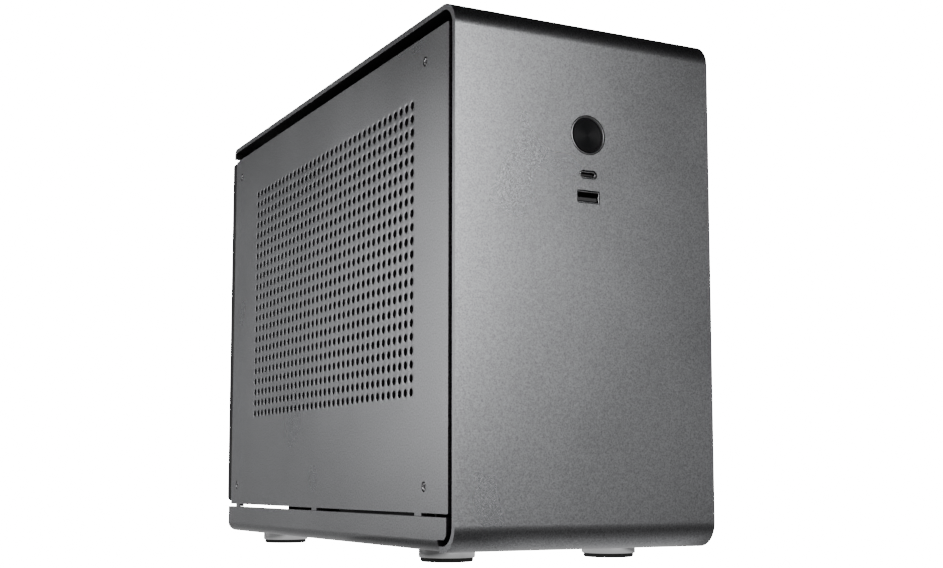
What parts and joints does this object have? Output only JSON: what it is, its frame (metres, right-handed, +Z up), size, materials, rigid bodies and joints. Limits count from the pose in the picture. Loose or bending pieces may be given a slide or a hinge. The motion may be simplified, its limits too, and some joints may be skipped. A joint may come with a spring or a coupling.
{
  "type": "desktop computer tower",
  "caption": "Free-standing small desktop computer tower: bent aluminium shell, perforated side panels, front power button and USB sockets, with its full inner hardware.",
  "frame": {"origin": "centre of the overall box at the level of the feet's undersides", "axes": "+Z up; -Y is the front with the power button; +X is the right-hand side seen from the front"},
  "size_m": [0.15, 0.3504, 0.274],
  "materials": {
    "gunmetal_anodised": "bead-blasted anodised, satin",
    "satin_aluminium": "turned, satin",
    "black_steel": "black powder coat, matte",
    "zinc_steel": "plated",
    "dark_screw": "black oxide",
    "bezel_metal": "dark anodised, satin",
    "black_plastic": "moulded, matte",
    "button_plastic": "moulded, satin gloss",
    "rubber_pad": "soft rubber, matte",
    "board_laminate": "solder mask, satin",
    "port_metal": "nickel plated",
    "copper_pipe": "copper, satin",
    "fin_aluminium": "rolled sheet",
    "brass_standoff": "machined",
    "dark_heatsink": "black anodised",
    "cable_jacket": "jacket, matte"
  },
  "bodies": {
    "case": {"outer_shell": "gunmetal_anodised", "front_frame": "black_steel", "motherboard_tray": "black_steel", "rear_panel": "black_steel", "rear_brackets": "black_steel", "frame_screws": "zinc_steel", "panel_nuts": "zinc_steel", "foot_rings": "satin_aluminium", "foot_pads": "rubber_pad", "foot_screws": "zinc_steel", "button_bezel": "bezel_metal", "switch_body": "black_plastic", "front_io_bracket": "zinc_steel", "usb_c_socket": "port_metal", "usb_a_socket": "port_metal", "front_io_board": "board_laminate", "front_leads": "cable_jacket", "motherboard": "board_laminate", "standoffs": "brass_standoff", "board_screws": "zinc_steel", "io_shield": "zinc_steel", "rear_ports": "port_metal", "lan_port": "port_metal", "cpu_socket": "zinc_steel", "cooler_base": "satin_aluminium", "heatpipes": "copper_pipe", "cooler_fins": "fin_aluminium", "cooler_fan_frame": "black_plastic", "memory_modules": "dark_heatsink", "board_sockets": "black_plastic", "ssd_heatsink": "dark_heatsink", "board_heatsinks": "dark_heatsink", "psu_case": "black_steel", "psu_board": "board_laminate", "psu_fan_frame": "black_plastic", "psu_guard": "zinc_steel", "psu_inlet": "black_plastic", "psu_bracket": "black_steel", "mains_inlet": "black_plastic", "mains_plug": "cable_jacket", "mains_lead": "cable_jacket", "board_cable": "cable_jacket", "gpu_board": "board_laminate", "gpu_heatsink": "fin_aluminium", "gpu_shroud": "black_plastic", "gpu_backplate": "dark_heatsink", "gpu_bracket": "zinc_steel", "gpu_cable": "cable_jacket", "riser_board": "black_plastic", "riser_ribbon": "cable_jacket"},
    "power_button": {"button_cap": "button_plastic"},
    "cooler_fan": {"cooler_rotor": "black_plastic"},
    "psu_fan": {"psu_rotor": "black_plastic"},
    "gpu_fan_front": {"gpu_rotor_front": "black_plastic"},
    "gpu_fan_rear": {"gpu_rotor_rear": "black_plastic"},
    "supply_switch": {"psu_rocker": "black_plastic"},
    "left_side": {"left_panel": "gunmetal_anodised", "left_panel_screws": "dark_screw"},
    "right_side": {"right_panel": "gunmetal_anodised", "right_panel_screws": "dark_screw"}
  },
  "joints": [
    {"name": "button_press", "type": "slide", "parent": "case", "child": "power_button", "axis": [0, 1, 0], "range_m": [0, 0.0012], "stiffness_N_per_m": 1500, "springref_m": -0.0005},
    {"name": "cooler_fan_spin", "type": "hinge", "parent": "case", "child": "cooler_fan", "pos_m": [-0.04, 0.09175, 0.181], "axis": [-1, 0, 0], "continuous": true},
    {"name": "psu_fan_spin", "type": "hinge", "parent": "case", "child": "psu_fan", "pos_m": [-0.06, -0.06725, 0.0775], "axis": [-1, 0, 0], "continuous": true},
    {"name": "gpu_front_fan_spin", "type": "hinge", "parent": "case", "child": "gpu_fan_front", "pos_m": [0.045, -0.02385, 0.138], "axis": [1, 0, 0], "continuous": true},
    {"name": "gpu_rear_fan_spin", "type": "hinge", "parent": "case", "child": "gpu_fan_rear", "pos_m": [0.045, 0.10015, 0.138], "axis": [1, 0, 0], "continuous": true},
    {"name": "supply_switch_tip", "type": "hinge", "parent": "case", "child": "supply_switch", "pos_m": [-0.038, -0.11725, 0.065], "axis": [1, 0, 0], "range_deg": [-16, 0]},
    {"name": "left_panel_off", "type": "slide", "parent": "case", "child": "left_side", "axis": [-1, 0, 0], "range_m": [0, 0.05]},
    {"name": "right_panel_off", "type": "slide", "parent": "case", "child": "right_side", "axis": [1, 0, 0], "range_m": [0, 0.05]}
  ]
}
